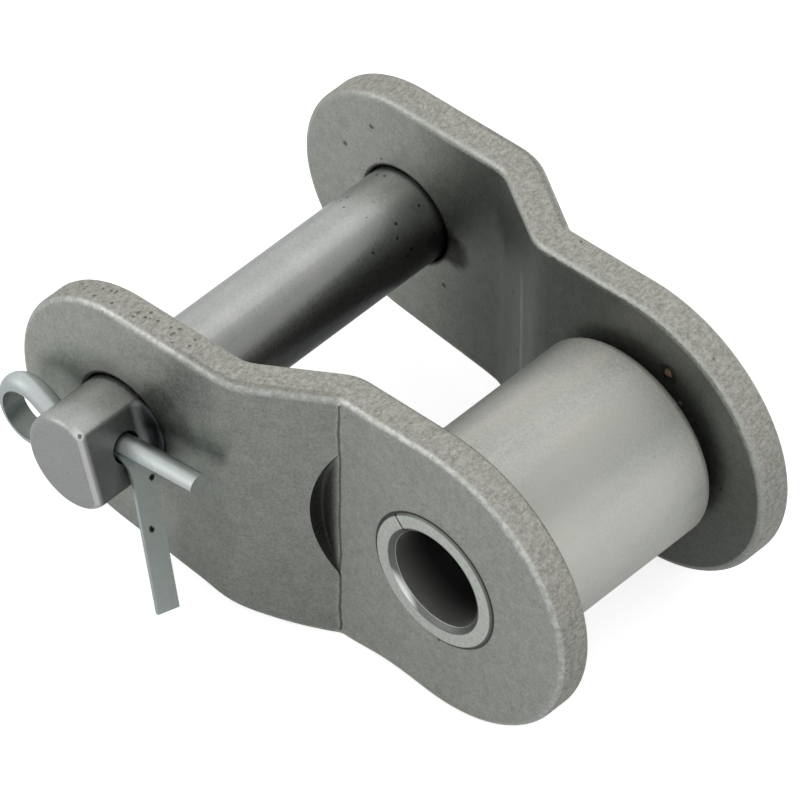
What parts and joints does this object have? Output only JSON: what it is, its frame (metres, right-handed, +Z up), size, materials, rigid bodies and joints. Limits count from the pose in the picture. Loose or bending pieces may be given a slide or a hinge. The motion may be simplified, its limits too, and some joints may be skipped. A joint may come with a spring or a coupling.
{
  "type": "offset link",
  "caption": "Cranked single-pitch roller chain link: bush and free roller at the narrow end, headed slip-fit pin locked by a cotter at the wide end.",
  "frame": {"origin": "middle of the bush bore, on its axis", "axes": "+X from the pin to the bush along the chain line, +Y along both axes away from the cotter, +Z up"},
  "size_m": [0.0353, 0.0285, 0.0178],
  "materials": {
    "plate_steel": "shot-peened, matt",
    "bush_steel": "fine turned, satin",
    "roller_steel": "tumbled, satin",
    "pin_steel": "ground, satin",
    "zinc_wire": "zinc plated, pale bluish"
  },
  "bodies": {
    "link": {"cotter_side_plate": "plate_steel", "head_side_plate": "plate_steel", "bush": "bush_steel"},
    "free_roller": {"roller": "roller_steel"},
    "cottered_pin": {"pin": "pin_steel", "cotter_pin": "zinc_wire"}
  },
  "joints": [
    {"name": "roller_spin", "type": "hinge", "parent": "link", "child": "free_roller", "pos_m": [0, 0, 0], "axis": [0, 1, 0], "continuous": true},
    {"name": "pin_turn", "type": "hinge", "parent": "link", "child": "cottered_pin", "pos_m": [-0.01905, 0, 0], "axis": [0, 1, 0], "continuous": true}
  ]
}
